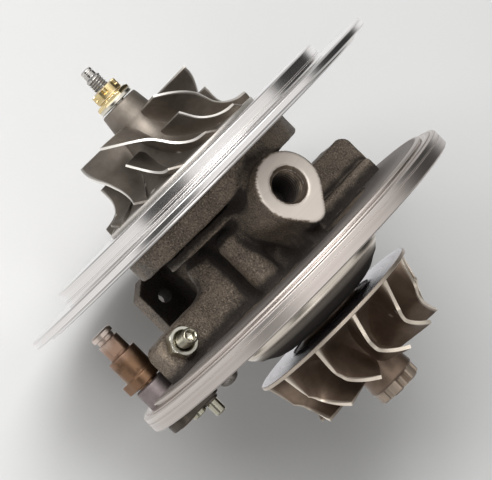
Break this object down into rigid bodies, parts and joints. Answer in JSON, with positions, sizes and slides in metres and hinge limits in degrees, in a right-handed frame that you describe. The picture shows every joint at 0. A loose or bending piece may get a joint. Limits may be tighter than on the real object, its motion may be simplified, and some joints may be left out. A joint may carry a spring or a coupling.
{
  "type": "turbocharger cartridge",
  "caption": "Turbocharger centre housing and rotating assembly: compressor wheel and backplate, oil-fed iron housing, turbine wheel, heat shield and vane crank.",
  "frame": {"origin": "on the rotor's axis, in the plane of the turbine flange's turbine side", "axes": "+X along the rotor's axis towards the turbine wheel, +Z towards the oil inlet"},
  "size_m": [0.1108, 0.1136, 0.1134],
  "materials": {
    "casting": "as cast, with machined faces",
    "backplate": "turned and polished",
    "wheel_aluminium": "satin, cast",
    "heat_alloy": "cast nickel alloy, brown",
    "shield_steel": "pressed and polished",
    "steel": "ground",
    "dark_steel": "black oxide",
    "plated_steel": "bright plated",
    "tinted_steel": "heat tinted",
    "gold_plate": "plated, bright",
    "bronze": "turned",
    "seal": "moulded"
  },
  "bodies": {
    "housing": {"center_housing": "casting", "compressor_backplate": "backplate", "backplate_screw_1": "dark_steel", "backplate_screw_2": "dark_steel", "backplate_screw_3": "dark_steel", "backplate_screw_4": "dark_steel", "housing_seal_ring": "seal", "thrust_bearing": "bronze", "oil_deflector": "steel", "journal_bearing": "bronze", "bearing_pin": "steel", "compressor_piston_ring": "dark_steel", "turbine_piston_ring": "dark_steel", "heat_shield": "shield_steel", "face_dowel": "dark_steel", "stop_screw": "plated_steel", "stop_screw_nut": "plated_steel", "crank_bush": "tinted_steel"},
    "rotor": {"rotor_shaft": "steel", "thrust_collar": "steel", "compressor_wheel": "wheel_aluminium", "lock_nut": "gold_plate", "turbine_wheel": "heat_alloy"},
    "crank": {"crank_shaft": "steel", "crank_lever": "tinted_steel", "crank_arm": "steel", "crank_pin": "plated_steel"}
  },
  "joints": [
    {"name": "rotor_spin", "type": "hinge", "parent": "housing", "child": "rotor", "pos_m": [0, 0, 0], "axis": [1, 0, 0], "continuous": true},
    {"name": "crank_turn", "type": "hinge", "parent": "housing", "child": "crank", "pos_m": [0, -0.041, -0.014], "axis": [1, 0, 0], "range_deg": [-25, 25]}
  ]
}
